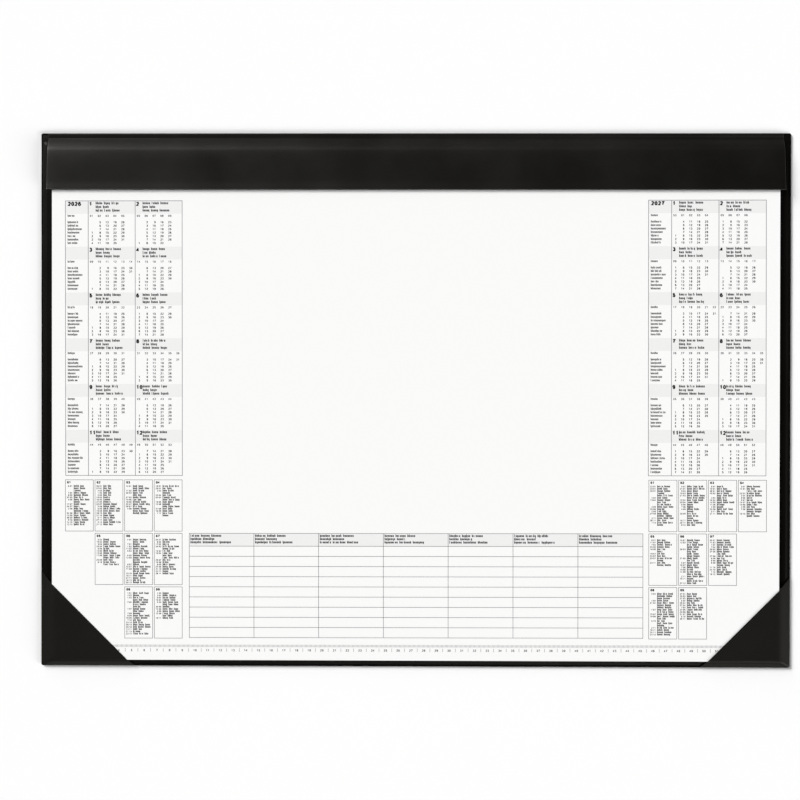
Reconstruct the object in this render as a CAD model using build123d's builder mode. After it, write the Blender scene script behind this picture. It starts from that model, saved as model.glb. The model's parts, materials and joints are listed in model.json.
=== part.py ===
from build123d import *
import os
from math import asin, atan2, cos, hypot, sin, tan

os.makedirs("parts", exist_ok=True)

# Desk pad calendar, lying on the desk. The origin is under the middle of the mat, +X runs along
# the width, +Y towards the head, where the cover strip is, and +Z up. All sizes are millimetres.

# Mat outline
mat_width = 590.0
mat_depth = 420.0
mat_corner_radius = 1.5

# Layers of the mat: foam underlay, stiff board and the foil welded round it
underlay_thickness = 1.5
board_thickness = 1.0
foil_thickness = 0.5
weld_margin = 4.0
board_head_gap = 4.5
bevel_run = 1.0

# Calendar pad: loose sheets on a grey board, glued along the head
pad_side_gap = 9.2
pad_front_gap = 5.2
pad_head_gap = 9.5
backing_thickness = 0.7
sheet_thickness = 0.1
sheet_count = 25
glue_thickness = 0.3
pad_clearance = 0.3

# Corner pockets: foil triangles that climb over the corners of the pad
left_pocket_leg = 74.6
right_pocket_leg = 71.0
pocket_flare = 0.7
pocket_weld = 1.2
pocket_bend = 2.0
cut_overrun = 1.0

# Cover strip: a padded flap that folds up about the crease beside the rolled rear edge
strip_reach = 45.0
strip_inset = 5.0
crease_gap = 4.0
crease_clearance = 0.1
crease_flat = 1.2
crease_radius = 0.7
lining_thickness = 0.3
strip_bend = 6.0
crest_radius = 8.0
padding_thickness = 1.0
padding_rim = 0.45
padding_lead = 2.8
padding_end_gap = 1.0
crown_radius = 180.0
strip_edge_radius = 0.9

# Rolled seam on the rear edge
spine_height = 1.15
spine_round = 0.6
spine_rear_round = 1.0
spine_foot_gap = 0.3
largest_round = 0.9  # share of a wall's height that its fillet may take

# Heights and places that follow from the sizes above
board_base = underlay_thickness
flange_top = underlay_thickness + foil_thickness
cover_top = board_base + board_thickness + foil_thickness
backing_top = cover_top + backing_thickness
pad_top = backing_top + sheet_count * sheet_thickness
hinge_y = mat_depth / 2 - crease_gap
pad_width = mat_width - 2 * pad_side_gap
pad_front = pad_front_gap - mat_depth / 2
pad_head = hinge_y - pad_head_gap
pad_depth = pad_head - pad_front
pocket_underside = pad_top + pad_clearance
root_thickness = foil_thickness + lining_thickness
hinge_z = flange_top + crease_clearance + root_thickness / 2
strip_width = mat_width - 2 * strip_inset


def climb_angle(foot, centre, radius):
    # Slope of the line that rises from foot and touches the upper side of the circle
    run = centre[0] - foot[0]
    rise = centre[1] - foot[1]
    return atan2(rise, run) + asin(radius / hypot(run, rise))


def mat_outline():
    with BuildSketch() as outline:
        RectangleRounded(mat_width, mat_depth, mat_corner_radius)
    return outline.sketch


# Foam underlay, the full outline of the mat
with BuildPart() as non_slip_underlay:
    add(mat_outline())
    extrude(amount=underlay_thickness)
non_slip_underlay.part.label = "non_slip_underlay"
export_step(non_slip_underlay.part, "parts/non_slip_underlay.step")

# Stiff board, set in from the welded edges and further in at the crease
head_margin = crease_gap + board_head_gap
board_width = mat_width - 2 * weld_margin
board_depth = mat_depth - weld_margin - head_margin
board_centre = (0, (weld_margin - head_margin) / 2)

with BuildPart() as stiffener_board:
    with BuildSketch(Plane.XY.offset(board_base)):
        with Locations(board_centre):
            Rectangle(board_width, board_depth)
    extrude(amount=board_thickness)
stiffener_board.part.label = "stiffener_board"
export_step(stiffener_board.part, "parts/stiffener_board.step")

# Top foil: flat on the underlay round the edge, raised over the board with a sloped flank
with BuildPart() as top_cover:
    with BuildSketch(Plane.XY.offset(board_base)):
        add(mat_outline())
    extrude(amount=foil_thickness)
    with BuildSketch(Plane.XY.offset(flange_top)):
        with Locations(board_centre):
            Rectangle(board_width + 2 * (foil_thickness + bevel_run),
                      board_depth + 2 * (foil_thickness + bevel_run))
    with BuildSketch(Plane.XY.offset(cover_top)):
        with Locations(board_centre):
            Rectangle(board_width + 2 * foil_thickness, board_depth + 2 * foil_thickness)
    loft()
    add(stiffener_board.part, mode=Mode.SUBTRACT)
top_cover.part.label = "top_cover"
export_step(top_cover.part, "parts/top_cover.step")


def pocket_section(plane, gap, reach, lift):
    # Region under the foil, from the mat's edge inwards. It is flat on the weld, then climbs in
    # a straight ramp that ends in an arc about the edge of the pad, and runs on level.
    centre = (gap, pocket_underside - pocket_bend)
    angle = climb_angle((pocket_weld, flange_top), centre, pocket_bend)
    bend = pocket_bend + lift
    touch = (gap - bend * sin(angle), centre[1] + bend * cos(angle))
    middle = (gap - bend * sin(angle / 2), centre[1] + bend * cos(angle / 2))
    crest = (gap, centre[1] + bend)
    foot = (pocket_weld - lift * tan(angle / 2), flange_top + lift)
    weld = [(0, flange_top), (0, flange_top + lift)] if lift else []
    start = weld[0] if weld else foot
    with BuildSketch(plane) as section:
        with BuildLine():
            Polyline(*weld, foot, touch)
            ThreePointArc(touch, middle, crest)
            Polyline(crest, (reach, crest[1]), (reach, flange_top), start)
        make_face()
    return section.sketch


def pocket_space(reach, lift):
    # Two such regions crossing at the left front corner of the mat, which gives the ramps a hip
    side_plane = Plane(origin=(-mat_width / 2, -mat_depth / 2, 0), x_dir=(1, 0, 0), z_dir=(0, -1, 0))
    front_plane = Plane(origin=(-mat_width / 2, -mat_depth / 2, 0), x_dir=(0, 1, 0), z_dir=(1, 0, 0))
    with BuildPart() as space:
        extrude(pocket_section(side_plane, pad_side_gap, reach, lift), amount=-reach)
        extrude(pocket_section(front_plane, pad_front_gap, reach, lift), amount=reach,
                mode=Mode.INTERSECT)
    return space.part


def corner_pocket(leg):
    # The free edge is straight over the pad and flares where the foil goes down its sides
    line = leg - pocket_flare
    with BuildPart() as pocket:
        add(pocket_space(leg + cut_overrun, foil_thickness))
        add(pocket_space(leg + 2 * cut_overrun, 0), mode=Mode.SUBTRACT)
        with BuildSketch() as cut:
            with Locations((-mat_width / 2, -mat_depth / 2)):
                Polygon((0, 0), (leg, 0), (line - pad_front_gap, pad_front_gap),
                        (pad_side_gap, line - pad_side_gap), (0, leg), align=None)
            add(mat_outline(), mode=Mode.INTERSECT)
        extrude(amount=pocket_underside + foil_thickness, mode=Mode.INTERSECT)
    return pocket.part


with BuildPart() as corner_pocket_left:
    add(corner_pocket(left_pocket_leg))
corner_pocket_left.part.label = "corner_pocket_left"
export_step(corner_pocket_left.part, "parts/corner_pocket_left.step")

with BuildPart() as corner_pocket_right:
    mirror(corner_pocket(right_pocket_leg), about=Plane.YZ)
corner_pocket_right.part.label = "corner_pocket_right"
export_step(corner_pocket_right.part, "parts/corner_pocket_right.step")

# Grey board under the sheets
with BuildPart() as pad_backing_board:
    with BuildSketch(Plane.XY.offset(cover_top)):
        with Locations((0, pad_front + pad_depth / 2)):
            Rectangle(pad_width, pad_depth)
    extrude(amount=backing_thickness)
pad_backing_board.part.label = "pad_backing_board"
export_step(pad_backing_board.part, "parts/pad_backing_board.step")

# Calendar sheets, numbered from the top one down
for number in range(1, sheet_count + 1):
    sheet_base = pad_top - number * sheet_thickness
    with BuildPart() as calendar_sheet:
        with BuildSketch(Plane.XY.offset(sheet_base)):
            with Locations((0, pad_front + pad_depth / 2)):
                Rectangle(pad_width, pad_depth)
        extrude(amount=sheet_thickness)
    calendar_sheet.part.label = f"calendar_sheet_{number:02d}"
    export_step(calendar_sheet.part, f"parts/calendar_sheet_{number:02d}.step")

# Film of glue on the head edge, which binds the sheets to the board
with BuildPart() as pad_binding_glue:
    with BuildSketch(Plane.XY.offset(cover_top)):
        with Locations((0, pad_head + glue_thickness / 2)):
            Rectangle(pad_width, glue_thickness)
    extrude(amount=pad_top - cover_top)
pad_binding_glue.part.label = "pad_binding_glue"
export_step(pad_binding_glue.part, "parts/pad_binding_glue.step")


def beside_hinge(along, up):
    # Point of the section through the strip, measured from its hinge axis towards the front
    return (hinge_y - along, hinge_z + up)


# Section of the strip. Skin and lining leave the crease as one, climb over the bound edge of the
# pad, and part round the padding.
lining_base = pocket_underside - hinge_z
bound_edge = pad_head_gap - glue_thickness
root_base = -root_thickness / 2
slope = climb_angle((crease_flat, root_base), (bound_edge, lining_base - strip_bend), strip_bend)
strip_end = strip_reach - crease_gap
crease_bend = crease_radius + foil_thickness


def slope_point(up):
    # Where the line between skin and lining reaches that height on the slope
    along = crease_flat - lining_thickness * tan(slope / 2)
    height = root_base + lining_thickness
    return (along + (up - height) / tan(slope), up)


def lining_line():
    crest = (crease_flat + (lining_base - root_base) / tan(slope), lining_base)
    return FilletPolyline(
        beside_hinge(0, root_base),
        beside_hinge(crease_flat, root_base),
        beside_hinge(*crest),
        beside_hinge(strip_end - foil_thickness, lining_base),
        radius=[crease_bend + lining_thickness, strip_bend],
    )


def skin_line():
    # Underside of the skin: crowned over the padding and folded down at the free edge
    rim = lining_base + lining_thickness + padding_rim
    crown = lining_base + lining_thickness + padding_thickness
    crest = slope_point(rim)
    end = strip_end - foil_thickness
    return FilletPolyline(
        beside_hinge(0, root_base + lining_thickness),
        beside_hinge(*slope_point(root_base + lining_thickness)),
        beside_hinge(*crest),
        beside_hinge((crest[0] + end) / 2, crown),
        beside_hinge(end, rim),
        beside_hinge(end, lining_base),
        radius=[crease_bend, crest_radius, crown_radius, strip_edge_radius - foil_thickness],
    )


with BuildSketch(Plane.YZ) as lining_section:
    with BuildLine():
        lining = lining_line()
        offset(lining, amount=lining_thickness, side=Side.RIGHT)
    make_face()

with BuildSketch(Plane.YZ) as skin_section:
    with BuildLine():
        skin = skin_line()
        offset(skin, amount=foil_thickness, side=Side.RIGHT)
    make_face()

with BuildSketch(Plane.YZ) as core_section:
    with BuildLine():
        core_top = skin_line()
        core_base = lining_line()
        Line(core_top @ 0, core_base @ 0)
    make_face()

with BuildPart() as strip_lining:
    extrude(lining_section.sketch, amount=strip_width / 2 - foil_thickness, both=True)
strip_lining.part.label = "strip_lining"
export_step(strip_lining.part, "parts/strip_lining.step")

# The skin closes the strip at both ends as well
with BuildPart() as strip_outer_skin:
    extrude(skin_section.sketch, amount=strip_width / 2, both=True)
    extrude(core_section.sketch, amount=strip_width / 2, both=True)
    extrude(core_section.sketch, amount=strip_width / 2 - foil_thickness, both=True,
            mode=Mode.SUBTRACT)
strip_outer_skin.part.label = "strip_outer_skin"
export_step(strip_outer_skin.part, "parts/strip_outer_skin.step")

with BuildPart() as strip_padding:
    with BuildSketch(Plane.YZ) as padding_section:
        add(core_section.sketch_local)
        add(lining_section.sketch_local, mode=Mode.SUBTRACT)
        with Locations(beside_hinge(bound_edge + padding_lead, lining_base)):
            Rectangle(strip_end, strip_end, align=(Align.MAX, Align.CENTER), mode=Mode.INTERSECT)
    extrude(amount=strip_width / 2 - foil_thickness - padding_end_gap, both=True)
strip_padding.part.label = "strip_padding"
export_step(strip_padding.part, "parts/strip_padding.step")

# Rolled seam: a bead on the rear edge of the mat, sloped towards the crease so that the strip
# can be laid back over it
spine_foot = hinge_y + spine_foot_gap
spine_rear = mat_depth / 2
with BuildPart() as cover_strip_spine:
    with BuildSketch(Plane.YZ):
        with BuildLine():
            bead = FilletPolyline(
                (spine_foot, flange_top),
                (spine_foot + spine_height, flange_top + spine_height),
                (spine_rear, flange_top + spine_height),
                (spine_rear, flange_top),
                radius=[spine_round, min(spine_rear_round, largest_round * spine_height)],
            )
            Line(bead @ 1, bead @ 0)
        make_face()
    extrude(amount=strip_width / 2, both=True)
cover_strip_spine.part.label = "cover_strip_spine"
export_step(cover_strip_spine.part, "parts/cover_strip_spine.step")
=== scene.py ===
import calendar
import datetime
import json
import math
import random

import bmesh
import bpy
import numpy as np
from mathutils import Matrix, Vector, noise

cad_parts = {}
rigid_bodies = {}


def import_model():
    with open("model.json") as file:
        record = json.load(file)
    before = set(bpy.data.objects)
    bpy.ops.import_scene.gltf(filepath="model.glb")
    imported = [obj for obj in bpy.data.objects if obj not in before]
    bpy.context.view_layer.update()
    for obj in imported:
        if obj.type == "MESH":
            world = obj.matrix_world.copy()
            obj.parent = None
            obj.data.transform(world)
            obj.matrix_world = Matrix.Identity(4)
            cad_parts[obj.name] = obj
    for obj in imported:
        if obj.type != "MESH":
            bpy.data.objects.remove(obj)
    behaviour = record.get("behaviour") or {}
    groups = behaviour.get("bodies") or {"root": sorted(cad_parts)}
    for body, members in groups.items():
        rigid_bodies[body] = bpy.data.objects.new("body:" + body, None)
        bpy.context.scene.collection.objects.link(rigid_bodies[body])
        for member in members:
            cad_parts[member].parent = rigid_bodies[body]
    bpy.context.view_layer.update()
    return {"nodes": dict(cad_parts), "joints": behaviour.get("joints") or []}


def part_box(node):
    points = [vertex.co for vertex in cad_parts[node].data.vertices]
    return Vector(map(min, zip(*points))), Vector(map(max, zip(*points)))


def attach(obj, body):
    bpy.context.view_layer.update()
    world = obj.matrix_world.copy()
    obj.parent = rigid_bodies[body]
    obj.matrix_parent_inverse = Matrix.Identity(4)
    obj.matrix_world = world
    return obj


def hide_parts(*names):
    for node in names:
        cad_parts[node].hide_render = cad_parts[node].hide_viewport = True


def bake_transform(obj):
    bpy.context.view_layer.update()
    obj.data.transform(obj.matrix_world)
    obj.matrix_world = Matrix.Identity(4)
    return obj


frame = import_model()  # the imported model: its bodies, nodes, joints and record
scene = bpy.context.scene
mm = 0.001


# Colours, nodes and meshes

def toLinear(hexColour):
    def channel(pair):
        value = int(pair, 16) / 255
        return value / 12.92 if value <= 0.04045 else ((value + 0.055) / 1.055) ** 2.4
    return tuple(channel(hexColour[i:i + 2]) for i in (1, 3, 5)) + (1.0,)


def addNode(tree, kind, settings=None, links=None):
    # A lower-case key is a property of the node, any other key is one of its inputs
    node = tree.nodes.new(kind)
    for key, value in (settings or {}).items():
        if isinstance(key, str) and key[0].islower():
            setattr(node, key, value)
        else:
            node.inputs[key].default_value = value
    for key, socket in (links or {}).items():
        tree.links.new(socket, node.inputs[key])
    return node


def startMaterial(name, settings):
    material = bpy.data.materials.new(name)
    material.use_nodes = True
    tree = material.node_tree
    shader = tree.nodes["Principled BSDF"]
    for key, value in settings.items():
        shader.inputs[key].default_value = value
    return material, tree, shader


def meshObject(name, points, faces, material, sharpAngle=40):
    # Smooth faces with crisp edges, and the rest place kept for patterns that follow the surface
    mesh = bpy.data.meshes.new(name)
    mesh.from_pydata([tuple(p) for p in points], [], faces)
    mesh.update()
    mesh.shade_smooth()
    mesh.set_sharp_from_angle(angle=math.radians(sharpAngle))
    mesh.materials.append(material)
    place = mesh.attributes.new("restPlace", "FLOAT_VECTOR", "POINT")
    flat = np.zeros(len(mesh.vertices) * 3, np.float32)
    mesh.vertices.foreach_get("co", flat)
    place.data.foreach_set("vector", flat)
    obj = bpy.data.objects.new(name, mesh)
    scene.collection.objects.link(obj)
    return obj


def ringFaces(rings, count):
    # Faces between closed rings of equal length, with a flat cap on each end
    faces = []
    for r in range(rings - 1):
        for i in range(count):
            j = (i + 1) % count
            faces.append((r * count + i, r * count + j,
                          (r + 1) * count + j, (r + 1) * count + i))
    faces.append(tuple(reversed(range(count))))
    faces.append(tuple(range((rings - 1) * count, rings * count)))
    return faces


def ringObject(name, rings, material, sharpAngle=40, inwards=False):
    faces = ringFaces(len(rings), len(rings[0]))
    if inwards:  # the rings run the other way round
        faces = [tuple(reversed(face)) for face in faces]
    return meshObject(name, [p for ring in rings for p in ring], faces, material, sharpAngle)


def smoothMin(a, b, softness):
    h = max(softness - abs(a - b), 0.0) / softness
    return min(a, b) - h * h * softness / 4


def smoothMax(a, b, softness):
    return -smoothMin(-a, -b, softness)


def easeBetween(a, b, t):
    t = min(max(t, 0.0), 1.0)
    return a + (b - a) * (0.5 - 0.5 * math.cos(math.pi * t))


def roundedDrop(distance, radius):
    # How far a rounded edge lies below its flat face at a distance from the edge
    if distance >= radius:
        return 0.0
    return radius * (1 - math.sqrt(1 - (1 - distance / radius) ** 2))


def ripple(x, y, wavelength, seed=0.0):
    # Gentle unevenness between -1 and 1
    return noise.noise(Vector((x / wavelength, y / wavelength, seed)))


# Materials. Sizes of patterns are millimetres, surface holds the shader's own settings.

foilLook = {
    "grain": 0.95,  # width of one pebble of the embossed leather grain
    "wander": (4.0, 0.8),  # how far apart and how strongly the pebbles stray, in pebbles
    "grainDepth": 0.035,
    "fineGrain": 0.28,  # tiny creases between and on the pebbles
    "cloud": 45.0,  # size of the patches where the sheen changes
    "dark": "#080706",
    "light": "#0C0B09",
    "roughness": (0.33, 0.41),
    "gloss": 0.5,
    "sheen": (1.0, 0.98, 0.93, 1.0),
}
# Painted shade: the mat's border foil is a darker copy of the same foil, standing in for the shade
# on the border; its low gloss is a setting of the foil
shadedMatFoilLook = {**foilLook, "gloss": 0.12, "dark": "#070605", "light": "#090807"}
# Painted light: the pockets' foil is a lighter copy of the same foil, standing in for the light
# the pockets catch; its low gloss is a setting of the foil
litPocketFoilLook = {**foilLook, "gloss": 0.13, "dark": "#171614", "light": "#1D1C1A"}


def embossedFoil(name, look):
    # Soft black PVC foil, calendered and embossed with a fine leather grain:
    # near black, with a broad soft sheen that breaks up on the pebbles
    material, tree, shader = startMaterial(name, {"IOR": 1.5, "Specular IOR Level": look["gloss"],
                                                  "Specular Tint": look["sheen"]})
    grain = look["grain"]
    apart, reach = look["wander"]
    place = addNode(tree, "ShaderNodeAttribute", {"attribute_name": "restPlace"}).outputs["Vector"]
    wander, creases, cloud = [
        addNode(tree, "ShaderNodeTexNoise", {"Scale": 1 / (size * mm), "Detail": detail},
                {"Vector": place})
        for size, detail in ((apart * grain, 2.0), (look["fineGrain"], 3.0), (look["cloud"], 4.0))]
    shift = addNode(tree, "ShaderNodeVectorMath",
                    {"operation": "SCALE", "Scale": reach * grain * mm},
                    {0: wander.outputs["Color"]})
    moved = addNode(tree, "ShaderNodeVectorMath", {"operation": "ADD"},
                    {0: place, 1: shift.outputs["Vector"]})
    pebbles = addNode(tree, "ShaderNodeTexVoronoi",
                      {"feature": "SMOOTH_F1", "Scale": 1 / (grain * mm), "Smoothness": 0.7},
                      {"Vector": moved.outputs["Vector"]})
    height = addNode(tree, "ShaderNodeMath", {"operation": "MULTIPLY_ADD", 1: -1.0},
                     {0: pebbles.outputs["Distance"], 2: creases.outputs["Fac"]})
    bump = addNode(tree, "ShaderNodeBump", {"Strength": 1.0, "Distance": look["grainDepth"] * mm},
                   {"Height": height.outputs["Value"]})
    polish = addNode(tree, "ShaderNodeMapRange",
                     {"From Min": 0.3, "From Max": 0.7,
                      "To Min": look["roughness"][0], "To Max": look["roughness"][1]},
                     {"Value": cloud.outputs["Fac"]})
    tint = addNode(tree, "ShaderNodeMix", {"data_type": "RGBA", 6: toLinear(look["dark"]),
                                           7: toLinear(look["light"])},
                   {0: pebbles.outputs["Distance"]})
    tree.links.new(tint.outputs[2], shader.inputs["Base Color"])
    tree.links.new(polish.outputs["Result"], shader.inputs["Roughness"])
    tree.links.new(bump.outputs["Normal"], shader.inputs["Normal"])
    return material


def patternedFinish(name, look):
    # One fine pattern tints the surface and gives its relief. Without a detail it is cut cells.
    material, tree, shader = startMaterial(name, look["surface"])
    if look.get("bends"):  # then the pattern stays on the piece as it bends
        place = addNode(tree, "ShaderNodeAttribute",
                        {"attribute_name": "restPlace"}).outputs["Vector"]
    else:
        place = addNode(tree, "ShaderNodeTexCoord").outputs["Object"]
    scale = 1 / (look["grain"] * mm)
    if "detail" in look:
        pattern = addNode(tree, "ShaderNodeTexNoise", {"Scale": scale, "Detail": look["detail"]},
                          {"Vector": place}).outputs["Fac"]
    else:
        pattern = addNode(tree, "ShaderNodeTexVoronoi", {"Scale": scale},
                          {"Vector": place}).outputs["Distance"]
    low, high = look["colours"]
    tint = addNode(tree, "ShaderNodeMix", {"name": "tint", "data_type": "RGBA",
                                           6: toLinear(low), 7: toLinear(high)}, {0: pattern})
    tree.links.new(tint.outputs[2], shader.inputs["Base Color"])
    if look["depth"]:
        bump = addNode(tree, "ShaderNodeBump", {"Distance": look["depth"] * mm},
                       {"Height": pattern})
        tree.links.new(bump.outputs["Normal"], shader.inputs["Normal"])
    return material


# Thin calendered PVC film on the hidden side of the strip: plain, matt, with a dull fine tooth
filmLook = {"grain": 0.35, "detail": 4.0, "depth": 0.02, "colours": ("#121213", "#1C1C1D"),
            "surface": {"IOR": 1.5, "Roughness": 0.62}, "bends": True}

# Closed-cell foamed rubber, slit from a block: matt charcoal, pocked all over with cut cells
foamLook = {"grain": 0.55, "depth": 0.09, "colours": ("#242426", "#161617"),
            "surface": {"IOR": 1.45, "Roughness": 0.92, "Specular IOR Level": 0.3}}

# Brushed-on dispersion glue, dried clear: a cream film with brush strokes and a waxy gloss
glueLook = {"grain": 6.0, "detail": 3.0, "depth": 0.08, "colours": ("#E9E4D4", "#D8D0B8"),
            "surface": {"IOR": 1.48, "Roughness": 0.32}}

# Offset printing ink soaked into uncoated paper: flat, matt, a little paler where it lies thin
inkLook = {"grain": 0.4, "detail": 3.0, "depth": 0,
           "surface": {"IOR": 1.45, "Roughness": 0.55, "Specular IOR Level": 0.25}}
inkColours = {
    "black": ("#131214", "#1F1E20"),
    "dark_grey": ("#545456", "#626264"),
    "grey": ("#808082", "#8C8C8E"),
    "pale": ("#EEEEED", "#F0F0EF"),
}

paperLook = {
    "grain": 0.6,  # cloudiness of the fibres
    "detail": 5.0,
    "depth": 0.006,
    "colours": ("#FBFBFA", "#F6F6F5"),
    "edge": "#C9C8C4",  # painted shade in the gap between two sheets, seen on the sides of the stack
    "sheetGapShadeShare": 0.12,  # half the width of the painted shade line, as a share of a sheet's thickness
    "surface": {"IOR": 1.45, "Roughness": 0.68, "Specular IOR Level": 0.25},
}


def offsetPaper(name, look, sheetThickness):
    # Uncoated white offset paper: matt, faintly cloudy; on its cut sides a painted shade line
    # marks each gap between two sheets
    material = patternedFinish(name, look)
    tree = material.node_tree
    place = addNode(tree, "ShaderNodeTexCoord").outputs["Object"]
    height = addNode(tree, "ShaderNodeSeparateXYZ", links={0: place}).outputs["Z"]
    normal = addNode(tree, "ShaderNodeNewGeometry").outputs["Normal"]
    upright = addNode(tree, "ShaderNodeSeparateXYZ", links={0: normal}).outputs["Z"]
    inSheetGapShade = (("DIVIDE", sheetThickness), ("PINGPONG", 0.5), ("LESS_THAN", look["sheetGapShadeShare"]))
    onSide = (("ABSOLUTE", 0.0), ("LESS_THAN", 0.5))
    tests = []
    for value, steps in ((height, inSheetGapShade), (upright, onSide)):
        for operation, number in steps:
            value = addNode(tree, "ShaderNodeMath", {"operation": operation, 1: number},
                            {0: value}).outputs[0]
        tests.append(value)
    share = addNode(tree, "ShaderNodeMath", {"operation": "MULTIPLY"},
                    {0: tests[0], 1: tests[1]})
    # Painted shade: on the sides, the base colour is darkened in a line at each gap between two
    # sheets
    sheetGapShaded = addNode(tree, "ShaderNodeMix", {"data_type": "RGBA", 7: toLinear(look["edge"])},
                    {0: share.outputs[0], 6: tree.nodes["tint"].outputs[2]})
    tree.links.new(sheetGapShaded.outputs[2], tree.nodes["Principled BSDF"].inputs["Base Color"])
    return material


boardLook = {"grain": 1.4, "detail": 6.0, "depth": 0.02, "colours": ("#A8A297", "#857F75"),
             "speck": 2.5,  # distance between the specks
             "surface": {"IOR": 1.45, "Roughness": 0.88, "Specular IOR Level": 0.25}}


def greyBoard(name, look):
    # Pressed greyboard from recycled paper: dull, mottled, with darker specks
    material = patternedFinish(name, look)
    tree = material.node_tree
    place = addNode(tree, "ShaderNodeTexCoord").outputs["Object"]
    speck = addNode(tree, "ShaderNodeTexVoronoi", {"Scale": 1 / (look["speck"] * mm)},
                    {"Vector": place})
    dots = addNode(tree, "ShaderNodeMapRange",
                   {"From Min": 0.05, "From Max": 0.15, "To Min": 1.0, "To Max": 0.0},
                   {"Value": speck.outputs["Distance"]})
    amount = tree.nodes["tint"].inputs[0]
    share = addNode(tree, "ShaderNodeMath", {"operation": "MAXIMUM"},
                    {0: amount.links[0].from_socket, 1: dots.outputs["Result"]})
    tree.links.new(share.outputs[0], amount)
    return material


padLow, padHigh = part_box("calendar_sheet_01")
foil = embossedFoil("embossed_pvc_foil", foilLook)
# its darker base colour is painted shade on the mat's border
shadedMatFoil = embossedFoil("welded_pvc_foil", shadedMatFoilLook)
# its lighter base colour is painted light on the pockets
litPocketFoil = embossedFoil("pocket_pvc_foil", litPocketFoilLook)
film = patternedFinish("calendered_pvc_film", filmLook)
foam = patternedFinish("slit_foam_rubber", foamLook)
paper = offsetPaper("uncoated_offset_paper", paperLook, padHigh.z - padLow.z)
board = greyBoard("pressed_greyboard", boardLook)
glue = patternedFinish("brushed_pad_glue", glueLook)
inks = {name: patternedFinish(f"offset_ink_{name}", {**inkLook, "colours": colours})
        for name, colours in inkColours.items()}
print("materials made")


# CAD nodes that keep their shape

nodeFinish = {
    "non_slip_underlay": foam,
    "stiffener_board": board,
    "pad_backing_board": board,
    "pad_binding_glue": glue,
}
for name, node in frame["nodes"].items():
    finish = paper if name.startswith("calendar_sheet") else nodeFinish.get(name)
    if finish:
        node.data.materials.clear()
        node.data.materials.append(finish)
print("plain nodes dressed")


# Top cover: foil welded flat to the underlay round the edge and raised over the stiff board

coverSizes = {
    "edgeRound": 0.35,  # mm, how far the die-cut edge is rounded
    "weldStart": 0.8,  # mm from the edge to the pressed weld line
    "weldWidth": 0.7,
    "weldDepth": 0.05,
    "weldFlank": 0.12,  # mm, how wide the sides of the pressed line are
    "boardRadius": 0.5,
    "bevelTop": 0.3,  # mm from the board to the top of the flank round it
    "bevelRun": 1.5,
    "foldRound": 0.6,  # mm, softness of the folds above and below the flank
    "cornerRadius": 1.5,
    "leastRadius": 0.4,
    "raisedRadius": 1.8,
    "crownInset": 6.0,  # mm from the board's edge to where the mesh is one flat face
    "wave": 0.10,  # mm, unevenness of the cut
    "waveLength": 23.0,
    "cornerSteps": 6,
    "longSteps": 90,
    "shortSteps": 64,
}


def rectangleRing(low, high, radius, z, sizes, wave=0.0):
    # Rounded rectangle in millimetres with the same number of points at every size
    points = []
    corners = [(high[0], high[1], 0), (low[0], high[1], 90),
               (low[0], low[1], 180), (high[0], low[1], 270)]
    for k, (x, y, start) in enumerate(corners):
        cx = x - math.copysign(radius, x)
        cy = y - math.copysign(radius, y)
        for i in range(sizes["cornerSteps"] + 1):
            a = math.radians(start + 90 * i / sizes["cornerSteps"])
            points.append((cx + radius * math.cos(a), cy + radius * math.sin(a), z))
        nx, ny, turn = corners[(k + 1) % 4]
        steps = sizes["longSteps"] if k % 2 == 0 else sizes["shortSteps"]
        b = math.radians(turn)
        end = (nx - math.copysign(radius, nx) + radius * math.cos(b),
               ny - math.copysign(radius, ny) + radius * math.sin(b))
        first = points[-1]
        for i in range(1, steps):
            t = i / steps
            px = first[0] + (end[0] - first[0]) * t
            py = first[1] + (end[1] - first[1]) * t
            push = wave * ripple(px, py, sizes["waveLength"])
            along = k % 2 == 0
            points.append((px + (0 if along else push), py + (push if along else 0), z))
    return points


def coverProfile(sizes, foilThickness, flangeTop, coverTop):
    # Heights by the inset from the mat's edge, then by the growth round the board, going inwards
    edge = sizes["edgeRound"]
    weldStart = sizes["weldStart"]
    weldEnd = weldStart + sizes["weldWidth"]
    weldFoot = flangeTop - sizes["weldDepth"]
    base = flangeTop - foilThickness
    fold = sizes["foldRound"]
    run = sizes["bevelRun"]
    rise = coverTop - flangeTop
    outer = [(0.0, base), (0.0, flangeTop - edge)]
    for i in range(1, 4):
        a = math.pi / 2 * i / 3
        outer.append((edge - edge * math.cos(a), flangeTop - edge + edge * math.sin(a)))
    outer += [(weldStart, flangeTop), (weldStart + sizes["weldFlank"], weldFoot),
              (weldEnd - sizes["weldFlank"], weldFoot), (weldEnd, flangeTop)]
    inner = []
    for i in range(13):
        t = (i / 12) * (run + 2 * fold) - fold
        ramp = flangeTop + rise * t / run
        z = smoothMax(smoothMin(ramp, coverTop, fold), flangeTop, fold)
        inner.append((sizes["bevelTop"] + run - t, z))
    return outer, inner


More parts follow.
